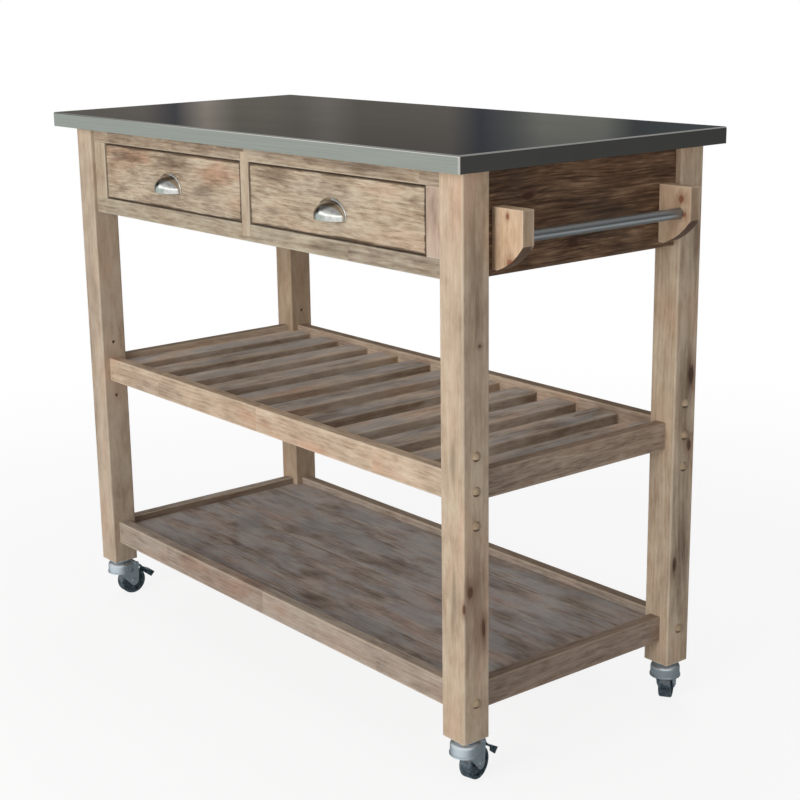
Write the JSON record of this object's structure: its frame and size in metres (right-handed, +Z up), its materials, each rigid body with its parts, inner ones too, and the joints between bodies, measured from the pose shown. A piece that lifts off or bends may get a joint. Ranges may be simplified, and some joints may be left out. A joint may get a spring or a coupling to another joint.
{
  "type": "kitchen island cart",
  "caption": "Rolling wooden kitchen cart with a steel-clad worktop, two drawers, slatted and boarded shelves, an end towel bar and swivel casters.",
  "frame": {"origin": "on the floor, under the middle of the four legs", "axes": "+X along the worktop towards the towel bar, -Y towards the drawer fronts, +Z up"},
  "size_m": [1.1145, 0.5358, 0.911],
  "materials": {
    "steel_top": "fine brushed, satin",
    "core_board": "raw board",
    "weathered_wood": "wire-brushed, greyed, matt",
    "dark_wood": "wire-brushed, matt",
    "bracket_wood": "sawn, matt",
    "shelf_wood": "wire-brushed, greyed, matt",
    "inner_wood": "planed, unfinished",
    "rod_steel": "satin",
    "pull_metal": "polished",
    "fastener_steel": "plated",
    "zinc_plate": "bright zinc plating",
    "wheel_tread": "moulded",
    "pedal": "black, satin"
  },
  "bodies": {
    "frame": {"worktop_pan": "steel_top", "worktop_core": "core_board", "leg_front_left": "weathered_wood", "leg_front_right": "weathered_wood", "leg_back_left": "weathered_wood", "leg_back_right": "weathered_wood", "face_rail_top": "weathered_wood", "face_rail_bottom": "weathered_wood", "face_stile_left": "weathered_wood", "face_stile_right": "weathered_wood", "face_stile_center": "weathered_wood", "mid_rail_front": "weathered_wood", "mid_rail_back": "weathered_wood", "mid_rail_left": "weathered_wood", "mid_rail_right": "weathered_wood", "low_rail_front": "weathered_wood", "low_rail_back": "weathered_wood", "low_rail_left": "weathered_wood", "low_rail_right": "weathered_wood", "leg_plugs": "weathered_wood", "apron_left": "dark_wood", "apron_right": "dark_wood", "apron_back": "dark_wood", "towel_bracket_front": "bracket_wood", "towel_bracket_back": "bracket_wood", "mid_shelf_slats": "shelf_wood", "low_shelf_planks": "shelf_wood", "drawer_runners": "inner_wood", "drawer_kickers": "inner_wood", "shelf_cleats": "inner_wood", "towel_rod": "rod_steel", "worktop_screws": "fastener_steel", "bracket_screws": "fastener_steel", "shelf_bolts": "fastener_steel", "caster_sockets": "fastener_steel", "caster_stems": "zinc_plate"},
    "drawer_left": {"drawer_left_front": "weathered_wood", "drawer_left_sides": "inner_wood", "drawer_left_back": "inner_wood", "drawer_left_bottom": "inner_wood", "drawer_left_pull": "pull_metal", "drawer_left_pull_screws": "fastener_steel"},
    "drawer_right": {"drawer_right_front": "weathered_wood", "drawer_right_sides": "inner_wood", "drawer_right_back": "inner_wood", "drawer_right_bottom": "inner_wood", "drawer_right_pull": "pull_metal", "drawer_right_pull_screws": "fastener_steel"},
    "caster_front_left_swivel": {"caster_front_left_fork": "zinc_plate"},
    "caster_front_left_wheel": {"caster_front_left_wheel": "wheel_tread"},
    "caster_front_left_pedal": {"caster_front_left_brake": "pedal"},
    "caster_front_right_swivel": {"caster_front_right_fork": "zinc_plate"},
    "caster_front_right_wheel": {"caster_front_right_wheel": "wheel_tread"},
    "caster_front_right_pedal": {"caster_front_right_brake": "pedal"},
    "caster_back_left_swivel": {"caster_back_left_fork": "zinc_plate"},
    "caster_back_left_wheel": {"caster_back_left_wheel": "wheel_tread"},
    "caster_back_left_pedal": {"caster_back_left_brake": "pedal"},
    "caster_back_right_swivel": {"caster_back_right_fork": "zinc_plate"},
    "caster_back_right_wheel": {"caster_back_right_wheel": "wheel_tread"},
    "caster_back_right_pedal": {"caster_back_right_brake": "pedal"}
  },
  "joints": [
    {"name": "drawer_left_slide", "type": "slide", "parent": "frame", "child": "drawer_left", "axis": [0, -1, 0], "range_m": [0, 0.3]},
    {"name": "drawer_right_slide", "type": "slide", "parent": "frame", "child": "drawer_right", "axis": [0, -1, 0], "range_m": [0, 0.3]},
    {"name": "caster_front_left_swivel", "type": "hinge", "parent": "frame", "child": "caster_front_left_swivel", "pos_m": [-0.4925, -0.212, 0.0665], "axis": [0, 0, 1], "continuous": true},
    {"name": "caster_front_left_roll", "type": "hinge", "parent": "caster_front_left_swivel", "child": "caster_front_left_wheel", "pos_m": [-0.49177, -0.19101, 0.025], "axis": [-0.9994, 0.0349, 0], "continuous": true},
    {"name": "caster_front_left_brake", "type": "hinge", "parent": "caster_front_left_swivel", "child": "caster_front_left_pedal", "pos_m": [-0.49156, -0.18502, 0.058], "axis": [-0.9994, 0.0349, 0], "range_deg": [0, 9]},
    {"name": "caster_front_right_swivel", "type": "hinge", "parent": "frame", "child": "caster_front_right_swivel", "pos_m": [0.4925, -0.212, 0.0665], "axis": [0, 0, 1], "continuous": true},
    {"name": "caster_front_right_roll", "type": "hinge", "parent": "caster_front_right_swivel", "child": "caster_front_right_wheel", "pos_m": [0.48742, -0.19162, 0.025], "axis": [-0.9703, -0.2419, 0], "continuous": true},
    {"name": "caster_front_right_brake", "type": "hinge", "parent": "caster_front_right_swivel", "child": "caster_front_right_pedal", "pos_m": [0.48597, -0.1858, 0.058], "axis": [-0.9703, -0.2419, 0], "range_deg": [0, 9]},
    {"name": "caster_back_left_swivel", "type": "hinge", "parent": "frame", "child": "caster_back_left_swivel", "pos_m": [-0.4925, 0.212, 0.0665], "axis": [0, 0, 1], "continuous": true},
    {"name": "caster_back_left_roll", "type": "hinge", "parent": "caster_back_left_swivel", "child": "caster_back_left_wheel", "pos_m": [-0.47431, 0.2225, 0.025], "axis": [-0.5, 0.866, 0], "continuous": true},
    {"name": "caster_back_left_brake", "type": "hinge", "parent": "caster_back_left_swivel", "child": "caster_back_left_pedal", "pos_m": [-0.46912, 0.2255, 0.058], "axis": [-0.5, 0.866, 0], "range_deg": [0, 9]},
    {"name": "caster_back_right_swivel", "type": "hinge", "parent": "frame", "child": "caster_back_right_swivel", "pos_m": [0.4925, 0.212, 0.0665], "axis": [0, 0, 1], "continuous": true},
    {"name": "caster_back_right_roll", "type": "hinge", "parent": "caster_back_right_swivel", "child": "caster_back_right_wheel", "pos_m": [0.48076, 0.22941, 0.025], "axis": [-0.829, -0.5592, 0], "continuous": true},
    {"name": "caster_back_right_brake", "type": "hinge", "parent": "caster_back_right_swivel", "child": "caster_back_right_pedal", "pos_m": [0.4774, 0.23438, 0.058], "axis": [-0.829, -0.5592, 0], "range_deg": [0, 9]}
  ]
}
